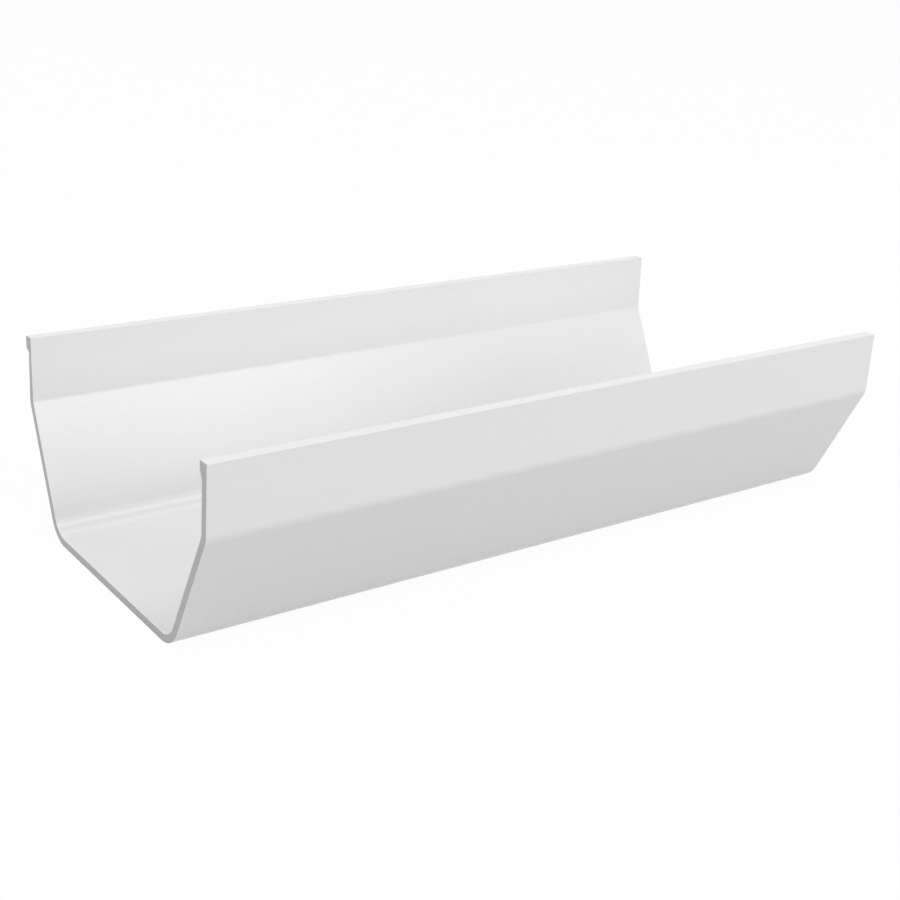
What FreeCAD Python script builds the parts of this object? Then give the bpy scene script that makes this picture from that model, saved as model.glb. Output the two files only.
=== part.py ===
import FreeCAD, Part
import os
from enum import IntEnum

import Sketcher

# Rainwater gutter section: one length of rigid PVC channel, extruded in one piece and sawn square
# at both ends. The die gives it one section all the way along, so the section is drawn once with
# sharp corners, padded along the gutter, and its long edges are then rounded.
#
# Millimetres. X runs along the gutter, -Y is the front wall, +Y is the back wall that faces the
# fascia board, +Z is up, and the origin is the centre of the underside of the base.

SIZES = {
    "cut_length": (250.0, "between the two sawn ends"),
    "width": (114.0, "across the outer faces of the upright walls"),
    "base_width": (77.5, "across the outer corners of the base, measured sharp"),
    "lower_height": (38.5, "underside of the base to the outer kink, measured sharp"),
    "upper_height": (20.5, "outer kink to the top of the rims"),
    "wall": (2.4, "thickness of the base and of both walls"),
    "corner_radius": (7.6, "inside radius where the base meets each wall"),
    "kink_radius": (3.6, "inside radius where each wall turns upright"),
    "front_bead": (1.25, "how far the front bead stands inwards from its wall"),
    "front_bead_depth": (2.3, "height of the front bead at full thickness"),
    "front_bead_taper": (2.6, "height over which the front bead runs out into its wall"),
    "back_bead": (1.9, "how far the back bead stands outwards from its wall"),
    "back_bead_depth": (3.7, "height of the back bead at full thickness"),
    "back_bead_taper": (1.1, "height of the back bead's sloping underside"),
    "edge_radius": (0.5, "rounding of the beads' long edges"),
}


class End(IntEnum):
    """The sketcher's own numbers for the two ends of a line."""

    START = 1
    FINISH = 2


class Axis(IntEnum):
    """The sketcher's own numbers for a sketch's two axes. The origin is the start of either."""

    LEVEL = -1
    UPRIGHT = -2


ORIGIN = (Axis.LEVEL, End.START)


def make_sheet(doc):
    """Put the driving dimensions in a spreadsheet, a row each: name, value and meaning."""
    sheet = doc.addObject("Spreadsheet::Sheet", "Sizes")
    for row, (alias, (value, meaning)) in enumerate(SIZES.items(), start=1):
        sheet.set(f"A{row}", alias)
        sheet.set(f"B{row}", str(value))
        sheet.set(f"C{row}", meaning)
        sheet.setAlias(f"B{row}", alias)
    doc.recompute()
    return sheet


def section_corners(sheet):
    """Return the section's sharp corners as {name: (y, z)}, in order round it from the front foot.

    The inside corners only start near their places: the sketch's constraints set them exactly one
    wall thickness in from the outside.
    """
    top = sheet.lower_height + sheet.upper_height
    foot = sheet.base_width / 2
    face = sheet.width / 2
    inner_foot = foot - sheet.wall
    inner_face = face - sheet.wall
    back_bead_face = face + sheet.back_bead
    front_bead_face = inner_face - sheet.front_bead
    back_bead_base = top - sheet.back_bead_depth
    front_bead_base = top - sheet.front_bead_depth
    return {
        "front_foot": (-foot, 0),
        "back_foot": (foot, 0),
        "back_kink": (face, sheet.lower_height),
        "back_bead_root": (face, back_bead_base - sheet.back_bead_taper),
        "back_bead_base": (back_bead_face, back_bead_base),
        "back_bead_top": (back_bead_face, top),
        "back_rim": (inner_face, top),
        "back_inner_kink": (inner_face, sheet.lower_height),
        "back_inner_foot": (inner_foot, sheet.wall),
        "front_inner_foot": (-inner_foot, sheet.wall),
        "front_inner_kink": (-inner_face, sheet.lower_height),
        "front_bead_root": (-inner_face, front_bead_base - sheet.front_bead_taper),
        "front_bead_base": (-front_bead_face, front_bead_base),
        "front_bead_top": (-front_bead_face, top),
        "front_rim": (-face, top),
        "front_kink": (-face, sheet.lower_height),
    }


class Section:
    """The gutter's section: a closed, fully constrained outline on the body's YZ plane.

    One line starts at each corner and takes that corner's name, so a corner is its line's start.
    """

    def __init__(self, body, sheet):
        self.sheet = sheet
        self.sketch = body.newObject("Sketcher::SketchObject", "Section")
        plane = next(p for p in body.Origin.OriginFeatures if p.Role == "YZ_Plane")
        self.sketch.AttachmentSupport = (plane, "")
        self.sketch.MapMode = "FlatFace"
        corners = section_corners(sheet)
        self.line = {name: number for number, name in enumerate(corners)}
        points = [FreeCAD.Vector(y, z, 0) for y, z in corners.values()]
        for start, end in zip(points, points[1:] + points[:1]):
            self.sketch.addGeometry(Part.LineSegment(start, end))

    def corner(self, name):
        """Return the named corner as the sketcher counts it: a line and its start."""
        return self.line[name], End.START

    def fix(self, kind, *where):
        """Add a constraint and return its number."""
        return self.sketch.addConstraint(Sketcher.Constraint(kind, *where))

    def measure(self, kind, where, size, name=None):
        """Add a dimension that follows one of the sheet's sizes, under that size's name or another."""
        name = name or size
        number = self.fix(kind, *where, getattr(self.sheet, size))
        self.sketch.renameConstraint(number, name)
        self.sketch.setExpression(f"Constraints.{name}", f"Sizes.{size}")

    def close_and_align(self):
        """Join the lines end to end, square up the level and upright ones, and mirror the channel."""
        count = len(self.line)
        for number in range(count):
            self.fix("Coincident", number, End.FINISH, (number + 1) % count, End.START)
        for name in ("front_foot", "back_bead_top", "front_bead_top"):
            self.fix("Horizontal", self.line[name])
        for name in ("back_kink", "back_bead_base", "back_rim"):
            self.fix("Vertical", self.line[name])
        for name in ("front_inner_kink", "front_bead_base", "front_rim"):
            self.fix("Vertical", self.line[name])
        self.fix("Horizontal", *self.corner("back_rim"), *self.corner("front_bead_top"))
        self.fix("Symmetric", *self.corner("front_foot"), *self.corner("back_foot"), *ORIGIN)
        for place in ("kink", "inner_kink", "inner_foot"):
            front, back = self.corner(f"front_{place}"), self.corner(f"back_{place}")
            self.fix("Symmetric", *front, *back, Axis.UPRIGHT)

    def size_channel(self):
        """Size the outside of the channel, and set its inside one wall thickness in."""
        foot, kink = self.corner("back_foot"), self.corner("back_kink")
        self.measure("DistanceX", (*self.corner("front_foot"), *foot), "base_width")
        self.measure("DistanceX", (*self.corner("front_kink"), *kink), "width")
        self.measure("DistanceY", (*ORIGIN, *kink), "lower_height")
        self.measure("DistanceY", (*kink, *self.corner("back_bead_top")), "upper_height")
        inner_kink, inner_foot = self.corner("back_inner_kink"), self.corner("back_inner_foot")
        self.measure("Distance", (*inner_kink, self.line["back_kink"]), "wall", "upright_wall")
        self.measure("Distance", (*inner_kink, self.line["back_foot"]), "wall", "sloping_wall_top")
        self.measure("Distance", (*inner_foot, self.line["back_foot"]), "wall", "sloping_wall_foot")
        self.measure("Distance", (*inner_foot, self.line["front_foot"]), "wall", "base_wall")

    def size_bead(self, bead):
        """Size one rim's bead: it stands off its wall, keeps full thickness, then tapers out."""
        root, base, top = (self.corner(f"{bead}_{place}") for place in ("root", "base", "top"))
        self.measure("DistanceX", (*root, *base), bead)
        self.measure("DistanceY", (*root, *base), f"{bead}_taper")
        self.measure("DistanceY", (*base, *top), f"{bead}_depth")

    def place(self, name):
        """Return where the named corner lies, as (y, z)."""
        point = self.sketch.getPoint(*self.corner(name))
        return point.x, point.y


def long_edges(shape, places, tolerance=1e-3):
    """Return the names of the edges that run along X through the given (y, z) places."""
    names = []
    for number, edge in enumerate(shape.Edges, start=1):
        ends = [vertex.Point for vertex in edge.Vertexes]
        for y, z in places:
            if all(abs(end.y - y) < tolerance and abs(end.z - z) < tolerance for end in ends):
                names.append(f"Edge{number}")
    return names


def round_corners(body, section, name, corners, radius):
    """Round the long edges at the named corners to a radius given as a formula of the sizes."""
    edges = long_edges(body.Shape, [section.place(corner) for corner in corners])
    if len(edges) != len(corners):
        raise RuntimeError(f"{name}: found {len(edges)} edges for {len(corners)} corners")
    base = body.Tip
    fillet = body.newObject("PartDesign::Fillet", name)
    fillet.Base = (base, edges)
    fillet.setExpression("Radius", radius)
    body.Tip = fillet
    body.Document.recompute()


def make_gutter(doc, sheet):
    """Build the gutter section: draw its section, pad it along X and round its long edges."""
    body = doc.addObject("PartDesign::Body", "gutter_section")
    body.Label = "gutter_section"
    body.Placement = FreeCAD.Placement()
    section = Section(body, sheet)
    section.close_and_align()
    section.size_channel()
    section.size_bead("front_bead")
    section.size_bead("back_bead")
    doc.recompute()
    if not section.sketch.FullyConstrained:
        raise RuntimeError("the section is not fully constrained")

    pad = body.newObject("PartDesign::Pad", "Extrusion")
    pad.Profile = section.sketch
    pad.setExpression("Length", "Sizes.cut_length")
    pad.Midplane = True
    body.Tip = pad
    doc.recompute()

    feet, inner_feet = ("front_foot", "back_foot"), ("front_inner_foot", "back_inner_foot")
    kinks, inner_kinks = ("front_kink", "back_kink"), ("front_inner_kink", "back_inner_kink")
    bead_edges = [f"{bead}_{place}" for bead in ("front_bead", "back_bead") for place in ("root", "base", "top")]
    round_corners(body, section, "CornersInside", inner_feet, "Sizes.corner_radius")
    round_corners(body, section, "CornersOutside", feet, "Sizes.corner_radius + Sizes.wall")
    round_corners(body, section, "KinksInside", inner_kinks, "Sizes.kink_radius")
    round_corners(body, section, "KinksOutside", kinks, "Sizes.kink_radius + Sizes.wall")
    round_corners(body, section, "RimEdges", [*bead_edges, "front_rim", "back_rim"], "Sizes.edge_radius")
    return body


def check(doc, bodies):
    """Stop if any object of the document failed, or a sub-part is not one sound solid."""
    for obj in doc.Objects:
        if {"Invalid", "Error"} & set(obj.State):
            raise RuntimeError(f"{obj.Label} failed: {obj.State}")
    for body in bodies:
        if body.Shape.isNull() or not body.Shape.isValid() or len(body.Shape.Solids) != 1:
            raise RuntimeError(f"{body.Label} is not one valid solid")


def main():
    """Build the document, check it and write one STEP file for each sub-part."""
    doc = FreeCAD.newDocument("GutterSection")
    sheet = make_sheet(doc)
    bodies = [make_gutter(doc, sheet)]
    check(doc, bodies)
    os.makedirs("parts", exist_ok=True)
    for body in bodies:
        body.Shape.exportStep(f"parts/{body.Label}.step")
        box = body.Shape.BoundBox
        print(f"{body.Label}: {box.XLength:.2f} x {box.YLength:.2f} x {box.ZLength:.2f} mm")
        print(f"volume {body.Shape.Volume:.1f} mm3, area {body.Shape.Area:.1f} mm2")


main()
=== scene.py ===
"""Looks of a rainwater gutter section: a short length of white extruded PVC-U channel.

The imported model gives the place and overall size. The channel is swept again here at full smoothness by
Geometry Nodes, from the same section but for a slimmer back rim, and dressed as extruded and as sawn PVC-U.
The frame is in metres: +Z up, X along the gutter, -Y the front wall, +Y the back wall. The sizes of the
gutter and of its finishes are in millimetres, as on a drawing, and those of the studio are in metres.
"""

import logging
import math
from collections.abc import Iterable, Mapping
from dataclasses import dataclass, field
from enum import Enum

import bpy
from mathutils import Euler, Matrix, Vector


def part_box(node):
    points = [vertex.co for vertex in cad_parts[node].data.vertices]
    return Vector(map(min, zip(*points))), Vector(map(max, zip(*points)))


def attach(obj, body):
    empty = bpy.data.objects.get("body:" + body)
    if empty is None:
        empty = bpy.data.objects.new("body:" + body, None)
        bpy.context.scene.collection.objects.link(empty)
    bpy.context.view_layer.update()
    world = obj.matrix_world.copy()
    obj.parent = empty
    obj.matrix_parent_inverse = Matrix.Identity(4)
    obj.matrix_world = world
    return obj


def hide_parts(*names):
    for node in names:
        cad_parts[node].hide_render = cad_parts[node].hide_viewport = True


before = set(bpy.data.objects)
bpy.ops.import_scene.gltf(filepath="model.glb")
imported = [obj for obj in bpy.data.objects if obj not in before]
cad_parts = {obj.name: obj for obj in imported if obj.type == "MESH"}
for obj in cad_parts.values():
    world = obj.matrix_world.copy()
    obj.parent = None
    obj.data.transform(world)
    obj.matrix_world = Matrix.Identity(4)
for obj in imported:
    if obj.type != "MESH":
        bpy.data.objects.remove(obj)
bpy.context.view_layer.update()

MM = 0.001
WHITE = (1.0, 1.0, 1.0, 1.0)
NODE = "gutter_section"
STRIP_DISTANCE = 1.5
log = logging.getLogger("gutter")


class Side(Enum):
    """The two walls, by the side of the gutter that they stand on."""

    FRONT = -1
    BACK = 1


def linear(hex_colour: str) -> tuple[float, float, float, float]:
    """Turn an sRGB colour into linear RGBA.

    Args:
        hex_colour: The colour, such as "#F1F2F2".

    Returns:
        Its red, green, blue and alpha.
    """
    channels = (int(hex_colour[i : i + 2], 16) / 255 for i in (1, 3, 5))
    rgb = (c / 12.92 if c <= 0.04045 else ((c + 0.055) / 1.055) ** 2.4 for c in channels)
    return (*rgb, 1.0)


def add_node(
    tree: bpy.types.NodeTree,
    kind: str,
    inputs: Mapping[str | int, object] | None = None,
    **settings: object,
) -> bpy.types.Node:
    """Add a node, set its properties, and set or link its inputs.

    Args:
        tree: Node tree that takes the node.
        kind: Blender's type name for the node.
        inputs: For each input, by name or number, a value or the output socket that feeds it.
        **settings: Properties of the node itself.

    Returns:
        The new node.
    """
    node = tree.nodes.new(kind)
    for name, value in settings.items():
        setattr(node, name, value)
    for key, value in (inputs or {}).items():
        if isinstance(value, bpy.types.NodeSocket):
            tree.links.new(value, node.inputs[key])
        else:
            node.inputs[key].default_value = value
    return node


# ---------------------------------------------------------------------------------------------- finishes


@dataclass(frozen=True)
class ExtrudedPvc:
    """Rigid PVC-U as it leaves the die and the calibrator: dense white, with a soft, even gloss.

    The die leaves hair-fine lines along the gutter and the calibrator a slow waviness, which the eye sees
    only as a slight unevenness in the sheen. The pigment hides everything below the surface.
    """

    colour: str = "#F0F0F0"
    streak_colour: str = "#EDEDED"
    roughness: float = 0.20
    roughness_swing: float = 0.05
    ior: float = 1.53
    line_spacing: float = 0.9
    line_length: float = 400.0
    line_height: float = 0.0012
    wave_length: float = 35.0
    wave_height: float = 0.010

    def material(self) -> bpy.types.Material:
        """Build the finish of every face that the die made.

        Returns:
            The material.
        """
        material, tree, shader = new_material("extruded_pvc_u", self.ior)
        place = add_node(tree, "ShaderNodeTexCoord").outputs["Object"]
        across, along = 1 / (self.line_spacing * MM), 1 / (self.line_length * MM)
        stretched = add_node(tree, "ShaderNodeMapping", {"Vector": place, "Scale": (along, across, across)})
        lines = add_node(
            tree,
            "ShaderNodeTexNoise",
            {"Vector": stretched.outputs[0], "Scale": 1.0, "Detail": 3.0, "Roughness": 0.6},
        )
        waves = add_node(
            tree,
            "ShaderNodeTexNoise",
            {"Vector": place, "Scale": 1 / (self.wave_length * MM), "Detail": 1.0},
        )
        tint = add_node(
            tree,
            "ShaderNodeMix",
            {"Factor": lines.outputs["Fac"], "A": linear(self.colour), "B": linear(self.streak_colour)},
            data_type="RGBA",
        )
        sheen = add_node(
            tree,
            "ShaderNodeMapRange",
            {
                "Value": waves.outputs["Fac"],
                "To Min": self.roughness - self.roughness_swing,
                "To Max": self.roughness + self.roughness_swing,
            },
        )
        slow = add_node(
            tree,
            "ShaderNodeBump",
            {"Height": waves.outputs["Fac"], "Distance": self.wave_height * MM, "Strength": 1.0},
        )
        fine = add_node(
            tree,
            "ShaderNodeBump",
            {
                "Height": lines.outputs["Fac"],
                "Distance": self.line_height * MM,
                "Strength": 1.0,
                "Normal": slow.outputs[0],
            },
        )
        tree.links.new(tint.outputs["Result"], shader.inputs["Base Color"])
        tree.links.new(sheen.outputs["Result"], shader.inputs["Roughness"])
        tree.links.new(fine.outputs[0], shader.inputs["Normal"])
        return material


@dataclass(frozen=True)
class SawnPvc:
    """The same PVC-U where a saw has cut it: matt, with faint arcs left by the teeth; its greyer colour is
    painted shade.

    The arcs are centred on the saw's spindle, which stands above and to one side of the gutter. They are
    spaced wider than a fine blade leaves them, so that they show.
    """

    # The grey of colour is painted shade: the sawn ends face the dimmer side of the studio.
    colour: str = "#D7D7D7"
    groove_colour: str = "#D2D2D2"
    roughness: float = 0.62
    ior: float = 1.53
    tooth_spacing: float = 0.8
    tooth_depth: float = 0.008
    arc_waver: float = 1.5
    spindle: tuple[float, float] = (-75.0, 137.5)

    def material(self) -> bpy.types.Material:
        """Build the finish of the two sawn ends.

        Returns:
            The material.
        """
        material, tree, shader = new_material("sawn_pvc_u", self.ior)
        place = add_node(tree, "ShaderNodeTexCoord").outputs["Object"]
        centre = (0.0, self.spindle[0] * MM, self.spindle[1] * MM)
        centred = add_node(
            tree, "ShaderNodeMapping", {"Vector": place, "Location": centre}, vector_type="TEXTURE"
        )
        across = (0.0, 1.0, 1.0)
        flat = add_node(
            tree, "ShaderNodeVectorMath", {0: centred.outputs[0], 1: across}, operation="MULTIPLY"
        )
        ring_scale = 1 / (self.tooth_spacing * MM) / math.tau
        arcs = add_node(
            tree,
            "ShaderNodeTexWave",
            {"Vector": flat.outputs[0], "Scale": ring_scale, "Distortion": self.arc_waver},
            wave_type="RINGS",
            rings_direction="SPHERICAL",
        )
        # Mixes the tooth arcs into the sawn colour, whose grey is painted shade.
        tint = add_node(
            tree,
            "ShaderNodeMix",
            {"Factor": arcs.outputs["Fac"], "A": linear(self.groove_colour), "B": linear(self.colour)},
            data_type="RGBA",
        )
        marks = add_node(
            tree,
            "ShaderNodeBump",
            {"Height": arcs.outputs["Fac"], "Distance": self.tooth_depth * MM, "Strength": 1.0},
        )
        shader.inputs["Roughness"].default_value = self.roughness
        tree.links.new(tint.outputs["Result"], shader.inputs["Base Color"])
        tree.links.new(marks.outputs[0], shader.inputs["Normal"])
        return material


def new_material(name: str, ior: float) -> tuple[bpy.types.Material, bpy.types.NodeTree, bpy.types.Node]:
    """Start a node material with a dielectric Principled shader.

    Args:
        name: The material's name.
        ior: Index of refraction of its surface.

    Returns:
        The material, its node tree and its shader.
    """
    material = bpy.data.materials.new(name)
    material.use_nodes = True
    tree = material.node_tree
    shader = tree.nodes["Principled BSDF"]
    shader.inputs["IOR"].default_value = ior
    return material, tree, shader


# ----------------------------------------------------------------------------------------------- gutter


@dataclass(frozen=True)
class Corner:
    """One corner of the gutter's section, drawn sharp, with the radius that rounds it. Millimetres."""

    y: float
    z: float
    radius: float


@dataclass
class Gutter:
    """The extruded channel: a flat base, sloping then upright walls, and a bead along each rim.

    The overall length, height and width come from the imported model; the fields hold the rest of the
    section, in millimetres. The inner face of the upper back wall leans out, which makes its rim slimmer.
    """

    base_width: float = 77.5
    lower_height: float = 38.5
    wall: float = 2.4
    corner_radius: float = 7.6
    kink_radius: float = 3.6
    front_bead: float = 1.25
    front_bead_depth: float = 2.3
    front_bead_taper: float = 2.6
    back_bead: float = 1.9
    back_bead_depth: float = 3.7
    back_bead_taper: float = 1.1
    back_lean: float = 0.9
    edge_radius: float = 0.5
    rim_edge_radius: float = 0.15
    arc_steps: int = 16
    saw_edge: float = 0.12
    saw_edge_steps: int = 2
    saw_edge_angle: float = 60.0
    extruded: ExtrudedPvc = field(default_factory=ExtrudedPvc)
    sawn: SawnPvc = field(default_factory=SawnPvc)

    def __post_init__(self) -> None:
        """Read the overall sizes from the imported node."""
        low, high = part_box(NODE)
        self.length = (high.x - low.x) / MM
        self.top = high.z / MM
        self.face = -low.y / MM

    def slope(self) -> float:
        """Return how far the sloping walls lean out from the vertical, in radians."""
        return math.atan2(self.face - self.base_width / 2, self.lower_height)

    def inner_slope_y(self, z: float) -> float:
        """Return how far out the sloping wall's inner face is at a height."""
        outer = self.base_width / 2 + z * math.tan(self.slope())
        return outer - self.wall / math.cos(self.slope())

    def half(self, side: Side) -> list[Corner]:
        """List one wall's corners, from the outer corner of the base round the rim to the inner one.

        Args:
            side: Which wall, as the two beads differ.

        Returns:
            The corners, with y positive towards the wall's own side.
        """
        inner_face = self.face - self.wall
        inner_kink = (inner_face - self.inner_slope_y(0)) / math.tan(self.slope())
        edge, rim_edge = self.edge_radius, self.rim_edge_radius
        if side is Side.BACK:
            outer, inner = self.face + self.back_bead, inner_face + self.back_lean
            underside = self.top - self.back_bead_depth
            bead = [
                Corner(self.face, underside - self.back_bead_taper, edge),
                Corner(outer, underside, edge),
                Corner(outer, self.top, edge),
                Corner(inner, self.top, rim_edge),
            ]
        else:
            outer, inner = self.face, inner_face - self.front_bead
            underside = self.top - self.front_bead_depth
            bead = [
                Corner(outer, self.top, rim_edge),
                Corner(inner, self.top, rim_edge),
                Corner(inner, underside, edge),
                Corner(inner_face, underside - self.front_bead_taper, edge),
            ]
        return [
            Corner(self.base_width / 2, 0, self.corner_radius + self.wall),
            Corner(self.face, self.lower_height, self.kink_radius + self.wall),
            *bead,
            Corner(inner_face, inner_kink, self.kink_radius),
            Corner(self.inner_slope_y(self.wall), self.wall, self.corner_radius),
        ]

    def outline(self) -> bpy.types.Object:
        """Draw the section as a closed loop of edges at X = 0, with each corner's radius on its point.

        Returns:
            The loop, as an object of edges alone.
        """
        back = self.half(Side.BACK)
        front = [Corner(-c.y, c.z, c.radius) for c in reversed(self.half(Side.FRONT))]
        corners = back + front
        count = len(corners)
        mesh = bpy.data.meshes.new("gutter_outline")
        points = [(0.0, c.y * MM, c.z * MM) for c in corners]
        mesh.from_pydata(points, [(i, (i + 1) % count) for i in range(count)], [])
        radius = mesh.attributes.new("corner_radius", "FLOAT", "POINT")
        radius.data.foreach_set("value", [c.radius * MM for c in corners])
        outline = bpy.data.objects.new("gutter_channel", mesh)
        bpy.context.scene.collection.objects.link(outline)
        return outline

    def sweep_tree(self) -> bpy.types.NodeTree:
        """Build the node tree that rounds an outline's corners and sweeps it along X, with closed ends.

        Returns:
            The tree. Its inputs are the outline, the length, a rounding's steps and the two finishes.
        """
        tree = bpy.data.node_groups.new("extrude_section", "GeometryNodeTree")
        sockets = tree.interface
        sockets.new_socket("Outline", in_out="INPUT", socket_type="NodeSocketGeometry")
        sockets.new_socket("Length", in_out="INPUT", socket_type="NodeSocketFloat")
        sockets.new_socket("Arc Steps", in_out="INPUT", socket_type="NodeSocketInt")
        sockets.new_socket("Extruded", in_out="INPUT", socket_type="NodeSocketMaterial")
        sockets.new_socket("Sawn", in_out="INPUT", socket_type="NodeSocketMaterial")
        sockets.new_socket("Channel", in_out="OUTPUT", socket_type="NodeSocketGeometry")
        given = add_node(tree, "NodeGroupInput").outputs

        # The outline stands in YZ and a profile lies in XY, where -X is swept to +Y and -Y to +Z.
        loop = add_node(tree, "GeometryNodeMeshToCurve", {"Mesh": given["Outline"]})
        radius = add_node(
            tree, "GeometryNodeInputNamedAttribute", {"Name": "corner_radius"}, data_type="FLOAT"
        )
        rounded = add_node(
            tree,
            "GeometryNodeFilletCurve",
            {"Curve": loop.outputs[0], "Count": given["Arc Steps"], "Radius": radius.outputs[0]},
            mode="POLY",
        )
        laid = add_node(
            tree,
            "GeometryNodeTransform",
            {"Geometry": rounded.outputs[0], "Rotation": Euler((math.pi / 2, -math.pi / 2, 0))},
        )
        half = add_node(tree, "ShaderNodeMath", {0: given["Length"], 1: 0.5}, operation="MULTIPLY")
        less = add_node(tree, "ShaderNodeMath", {0: given["Length"], 1: -0.5}, operation="MULTIPLY")
        end = add_node(tree, "ShaderNodeCombineXYZ", {"X": half.outputs[0]})
        start = add_node(tree, "ShaderNodeCombineXYZ", {"X": less.outputs[0]})
        path = add_node(
            tree, "GeometryNodeCurvePrimitiveLine", {"Start": start.outputs[0], "End": end.outputs[0]}
        )
        swept = add_node(
            tree,
            "GeometryNodeCurveToMesh",
            {"Curve": path.outputs[0], "Profile Curve": laid.outputs[0], "Fill Caps": True},
        )
        smooth = add_node(tree, "GeometryNodeSetShadeSmooth", {"Geometry": swept.outputs[0]})
        whole = add_node(tree, "GeometryNodeRealizeInstances", {"Geometry": smooth.outputs[0]})
        skin = add_node(
            tree, "GeometryNodeSetMaterial", {"Geometry": whole.outputs[0], "Material": given["Extruded"]}
        )
        normal = add_node(tree, "GeometryNodeInputNormal")
        facing = add_node(tree, "ShaderNodeSeparateXYZ", {0: normal.outputs[0]})
        along = add_node(tree, "ShaderNodeMath", {0: facing.outputs["X"]}, operation="ABSOLUTE")
        is_end = add_node(tree, "ShaderNodeMath", {0: along.outputs[0], 1: 0.5}, operation="GREATER_THAN")
        ends = add_node(
            tree,
            "GeometryNodeSetMaterial",
            {"Geometry": skin.outputs[0], "Selection": is_end.outputs[0], "Material": given["Sawn"]},
        )
        add_node(tree, "NodeGroupOutput", {0: ends.outputs[0]})
        return tree

    def build(self) -> bpy.types.Object:
        """Sweep the channel and break its sawn edges.

        Returns:
            The channel, as one plain mesh.
        """
        piece = self.outline()
        sweep = piece.modifiers.new("sweep", "NODES")
        sweep.node_group = self.sweep_tree()
        values = {
            "Length": self.length * MM,
            "Arc Steps": self.arc_steps,
            "Extruded": self.extruded.material(),
            "Sawn": self.sawn.material(),
        }
        for item in sweep.node_group.interface.items_tree:
            if item.name in values:
                sweep[item.identifier] = values[item.name]

        # The edges along the gutter are rounded already, so only the square sawn ones turn this sharply.
        bevel = piece.modifiers.new("sawn_edge", "BEVEL")
        bevel.width = self.saw_edge * MM
        bevel.segments = self.saw_edge_steps
        bevel.limit_method = "ANGLE"
        bevel.angle_limit = math.radians(self.saw_edge_angle)
        level = piece.modifiers.new("level_flats", "WEIGHTED_NORMAL")
        level.mode = "FACE_AREA"
        return plain(piece)

    def place(self) -> bpy.types.Object:
        """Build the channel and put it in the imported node's stead.

        Returns:
            The channel.
        """
        piece = self.build()
        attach(piece, "root")
        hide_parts(NODE)
        report(piece)
        return piece


def plain(piece: bpy.types.Object) -> bpy.types.Object:
    """Bake a piece's modifiers into a plain mesh and remove them.

    Args:
        piece: The piece, in the scene.

    Returns:
        The same piece.
    """
    bpy.context.view_layer.update()
    graph = bpy.context.evaluated_depsgraph_get()
    mesh = bpy.data.meshes.new_from_object(
        piece.evaluated_get(graph), preserve_all_data_layers=True, depsgraph=graph
    )
    piece.modifiers.clear()
    piece.data = mesh
    mesh.name = piece.name
    return piece


def report(piece: bpy.types.Object) -> None:
    """Log a finished piece's name, face count and size.

    Args:
        piece: The piece.
    """
    corners = [piece.matrix_world @ Vector(corner) for corner in piece.bound_box]
    spans = (max(c[i] for c in corners) - min(c[i] for c in corners) for i in range(3))
    size = " x ".join(f"{span / MM:.2f}" for span in spans)
    log.info("%s: %d faces, %s mm", piece.name, len(piece.data.polygons), size)


# ----------------------------------------------------------------------------------------------- studio


@dataclass(frozen=True)
class Softbox:
    """A rectangular softbox that points at the gutter. Places and sizes are in metres.

    Its brightness is that of its face, where 1 is the white that the surround shows.
    """

    name: str
    place: tuple[float, float, float]
    size: tuple[float, float]
    brightness: float
    aim: tuple[float, float, float] = (0.0, 0.0, 0.0)

    def build(self) -> bpy.types.Object:
        """Set up the lamp, turned towards its aim.

        Returns:
            The lamp.
        """
        lamp = bpy.data.lights.new(self.name, "AREA")
        lamp.shape = "RECTANGLE"
        lamp.size, lamp.size_y = self.size
        lamp.energy = self.brightness * math.pi * lamp.size * lamp.size_y
        holder = bpy.data.objects.new(self.name, lamp)
        holder.location = self.place
        holder.rotation_euler = (Vector(self.aim) - Vector(self.place)).to_track_quat("-Z", "Y").to_euler()
        bpy.context.scene.collection.objects.link(holder)
        return holder


def strip(
    name: str, angle: float, size: tuple[float, float], brightness: float, middle: float = 0.0
) -> Softbox:
    """Place a softbox parallel to the gutter, above it or to one side of it.

    Args:
        name: The lamp's name.
        angle: Where it is about the gutter, in degrees: 0 is level on the front side, 90 overhead.
        size: Its length along the gutter and its width, in metres.
        brightness: Its brightness.
        middle: The X of its middle, in metres.

    Returns:
        The softbox, STRIP_DISTANCE from the gutter's axis.
    """
    turn = math.radians(angle)
    place = (middle, -STRIP_DISTANCE * math.cos(turn), STRIP_DISTANCE * math.sin(turn))
    return Softbox(name, place, size, brightness, (middle, 0.0, 0.0))


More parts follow.
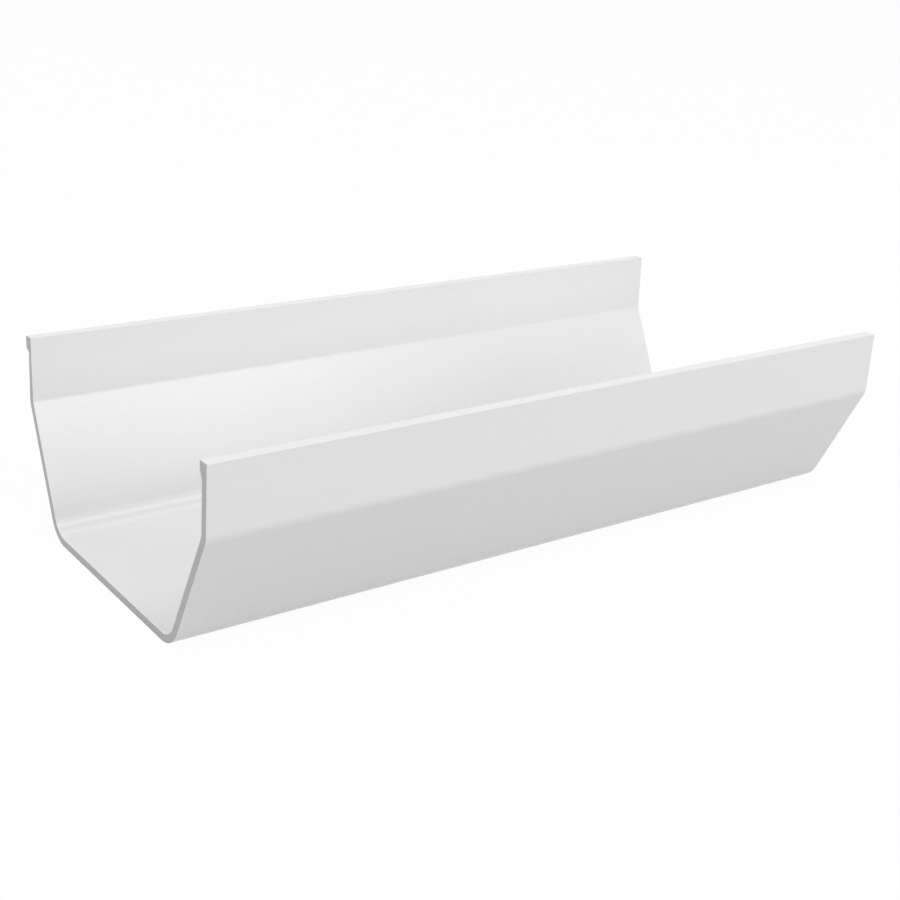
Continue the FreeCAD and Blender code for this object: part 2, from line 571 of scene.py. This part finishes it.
@dataclass
class Studio:
    """A pale seamless floor, a soft surround, softboxes and the camera.

    The lamps light the gutter from floor_grey; the eye sees floor_white, with shadow_share of its shadow.
    """

    floor_size: float = 40.0
    floor_grey: str = "#BCBCBC"
    floor_white: str = "#FAFAFA"
    shadow_share: float = 0.04
    surround: float = 0.40
    white: float = 1.0
    softboxes: tuple[Softbox, ...] = (
        Softbox("front_softbox", (0.485, -1.81, 0.70), (1.45, 0.93), 2.15),
        Softbox("low_front_softbox", (0.0, -1.94, 0.48), (0.5, 0.5), 3.9),
        Softbox("left_overhead_softbox", (-0.9, 0.0, 1.6), (0.8, 0.8), 3.1),
        strip("high_front_softbox", 45, (2.2, 0.50), 0.3),
        strip("right_front_softbox", 60.5, (1.3, 0.50), 2.5, 0.45),
        strip("rear_overhead_softbox", 106.5, (1.3, 0.42), 1.5, 0.45),
        strip("back_fill_softbox", 160, (1.2, 0.60), 1.3, -0.7),
    )
    camera_place: tuple[float, float, float] = (-0.28125, -0.35254, 0.19500)
    azimuth: float = 36.14
    elevation: float = 18.27
    roll: float = 3.25
    focal_length: float = 59.375
    shift: tuple[float, float] = (0.0417, -0.0887)

    def surface_seen(self, tree: bpy.types.NodeTree) -> bpy.types.NodeSocket:
        """Tell what the eye sees from what lights the gutter.

        Args:
            tree: Node tree that takes the nodes.

        Returns:
            A factor that is 1 for what the camera, a reflection or a clear piece shows.
        """
        path = add_node(tree, "ShaderNodeLightPath").outputs
        mirror = add_node(
            tree,
            "ShaderNodeMath",
            {0: path["Is Camera Ray"], 1: path["Is Glossy Ray"]},
            operation="MAXIMUM",
        )
        clear = add_node(
            tree,
            "ShaderNodeMath",
            {0: mirror.outputs[0], 1: path["Is Transmission Ray"]},
            operation="MAXIMUM",
        )
        return clear.outputs[0]

    def build_floor(self) -> bpy.types.Object:
        """Lay the floor: white to the eye with a faint shadow, a grey card to the light.

        Returns:
            The floor.
        """
        mesh = bpy.data.meshes.new("floor")
        half = self.floor_size / 2
        corners = [(-half, -half, 0), (half, -half, 0), (half, half, 0), (-half, half, 0)]
        mesh.from_pydata(corners, [], [(0, 1, 2, 3)])
        floor = bpy.data.objects.new("floor", mesh)
        bpy.context.scene.collection.objects.link(floor)
        material = bpy.data.materials.new("seamless_paper")
        material.use_nodes = True
        tree = material.node_tree
        tree.nodes.clear()
        seen = self.surface_seen(tree)
        paper = add_node(
            tree,
            "ShaderNodeMix",
            {"Factor": seen, "A": linear(self.floor_grey), "B": linear(self.floor_white)},
            data_type="RGBA",
        )
        card = add_node(tree, "ShaderNodeBsdfDiffuse", {"Color": paper.outputs["Result"]})
        glow = add_node(tree, "ShaderNodeEmission", {"Color": WHITE, "Strength": self.white})
        share = add_node(tree, "ShaderNodeMath", {0: seen, 1: 1 - self.shadow_share}, operation="MULTIPLY")
        mixed = add_node(
            tree, "ShaderNodeMixShader", {0: share.outputs[0], 1: card.outputs[0], 2: glow.outputs[0]}
        )
        add_node(tree, "ShaderNodeOutputMaterial", {"Surface": mixed.outputs[0]})
        mesh.materials.append(material)
        return floor

    def build_surround(self) -> None:
        """Fill the world with soft light, and show it as plain white."""
        world = bpy.data.worlds.new("surround")
        bpy.context.scene.world = world
        world.use_nodes = True
        tree = world.node_tree
        tree.nodes.clear()
        light = add_node(tree, "ShaderNodeBackground", {"Color": WHITE, "Strength": self.surround})
        shown = add_node(tree, "ShaderNodeBackground", {"Color": WHITE, "Strength": self.white})
        seen = self.surface_seen(tree)
        mixed = add_node(tree, "ShaderNodeMixShader", {0: seen, 1: light.outputs[0], 2: shown.outputs[0]})
        add_node(tree, "ShaderNodeOutputWorld", {"Surface": mixed.outputs[0]})

    def build_camera(self) -> bpy.types.Object:
        """Set up the camera: the gutter seen from above its near, front corner.

        Returns:
            The camera.
        """
        lens = bpy.data.cameras.new("camera")
        lens.lens = self.focal_length
        lens.shift_x, lens.shift_y = self.shift
        lens.clip_start, lens.clip_end = 0.01, 100
        camera = bpy.data.objects.new("camera", lens)
        camera.location = self.camera_place
        level = Euler((math.radians(90 - self.elevation), 0, math.radians(-self.azimuth))).to_matrix()
        rolled = Euler((0, 0, math.radians(self.roll))).to_matrix()
        camera.rotation_euler = (level @ rolled).to_euler()
        bpy.context.scene.collection.objects.link(camera)
        bpy.context.scene.camera = camera
        return camera

    def build(self) -> None:
        """Set up everything around the gutter."""
        bpy.context.scene.view_settings.view_transform = "Standard"
        self.build_floor()
        self.build_surround()
        self.build_camera()
        for softbox in self.softboxes:
            softbox.build()


def main() -> None:
    """Build the gutter and its studio."""
    logging.basicConfig(level=logging.INFO, format="%(name)s: %(message)s")
    Gutter().place()
    Studio().build()


if __name__ == "__main__":
    main()
